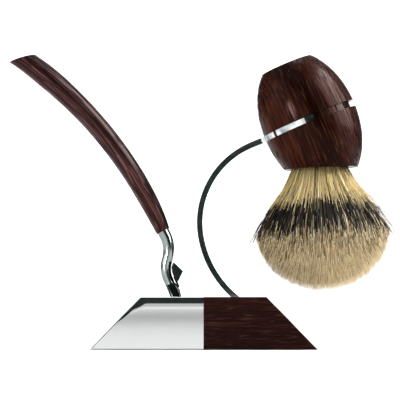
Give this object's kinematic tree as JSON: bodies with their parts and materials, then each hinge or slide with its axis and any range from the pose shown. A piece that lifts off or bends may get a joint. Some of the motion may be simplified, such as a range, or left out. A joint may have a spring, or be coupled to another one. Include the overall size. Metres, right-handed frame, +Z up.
{
  "type": "shaving stand with brush and razor",
  "caption": "Wedge-shaped shaving stand in metal and dark wood, with a bent steel clip carrying a hair brush and a slot that holds a razor with a pivoting cartridge.",
  "frame": {"origin": "middle of the flat underside of the foot pad, on the plane where the metal half meets the wooden half", "axes": "+X towards the brush side, +Y across the block (the stand is the same on both sides of Y = 0), +Z up"},
  "size_m": [0.1712, 0.0598, 0.1324],
  "materials": {
    "mirror_metal": "mirror polished solid metal",
    "wenge": "dark open-grained hardwood, satin oil",
    "plate_steel": "plain sheet steel",
    "screw_steel": "plated screws",
    "foot_rubber": "matt",
    "beech": "plain turned dowel",
    "slot_rubber": "matt",
    "strap_chrome": "mirror polished",
    "brass": "turned",
    "grub_black": "black oxide",
    "handle_wood": "dark red-brown hardwood, polished",
    "resin": "cast resin",
    "hair": "banded natural hair: tan root, dark band, pale tips",
    "neck_chrome": "mirror polished",
    "black_gloss": "gloss",
    "black_satin": "satin",
    "spring_steel": "drawn wire",
    "yoke_grey": "satin",
    "frame_black": "satin",
    "blade_steel": "honed",
    "clip_aluminium": "bright sheet",
    "lube": "waxy",
    "guard_rubber": "matt"
  },
  "bodies": {
    "stand": {"metal_block": "mirror_metal", "wood_block": "wenge", "tie_plate": "plate_steel", "tie_screws": "screw_steel", "foot_pad": "foot_rubber", "block_dowels": "beech", "slot_pad": "slot_rubber", "brush_holder": "strap_chrome", "thread_insert": "brass", "grub_screw": "grub_black"},
    "brush": {"brush_handle": "handle_wood", "knot_plug": "resin", "brush_hair": "hair"},
    "razor": {"razor_handle": "handle_wood", "razor_neck": "neck_chrome", "head_connector": "black_gloss", "eject_spring": "spring_steel", "cartridge_yoke": "yoke_grey"},
    "button": {"eject_button": "black_satin"},
    "cartridge": {"cartridge_frame": "frame_black", "razor_blades": "blade_steel", "blade_clips": "clip_aluminium", "lube_strip": "lube", "guard_strip": "guard_rubber"}
  },
  "joints": [
    {"name": "brush_slide", "type": "slide", "parent": "stand", "child": "brush", "axis": [0.9239, 0, 0.3827], "range_m": [0, 0.05]},
    {"name": "razor_lift", "type": "slide", "parent": "stand", "child": "razor", "axis": [0, 0, 1], "range_m": [0, 0.024]},
    {"name": "eject_press", "type": "slide", "parent": "razor", "child": "button", "axis": [0.3971, 0, -0.9178], "range_m": [0, 0.0024], "stiffness_N_per_m": 400, "springref_m": -0.001, "deforming": ["eject_spring"]},
    {"name": "cartridge_pivot", "type": "hinge", "parent": "razor", "child": "cartridge", "pos_m": [-0.01005, 0, 0.01541], "axis": [0, 1, 0], "range_deg": [0, 41], "stiffness_Nm_per_rad": 0.01, "springref_deg": -11.46}
  ]
}
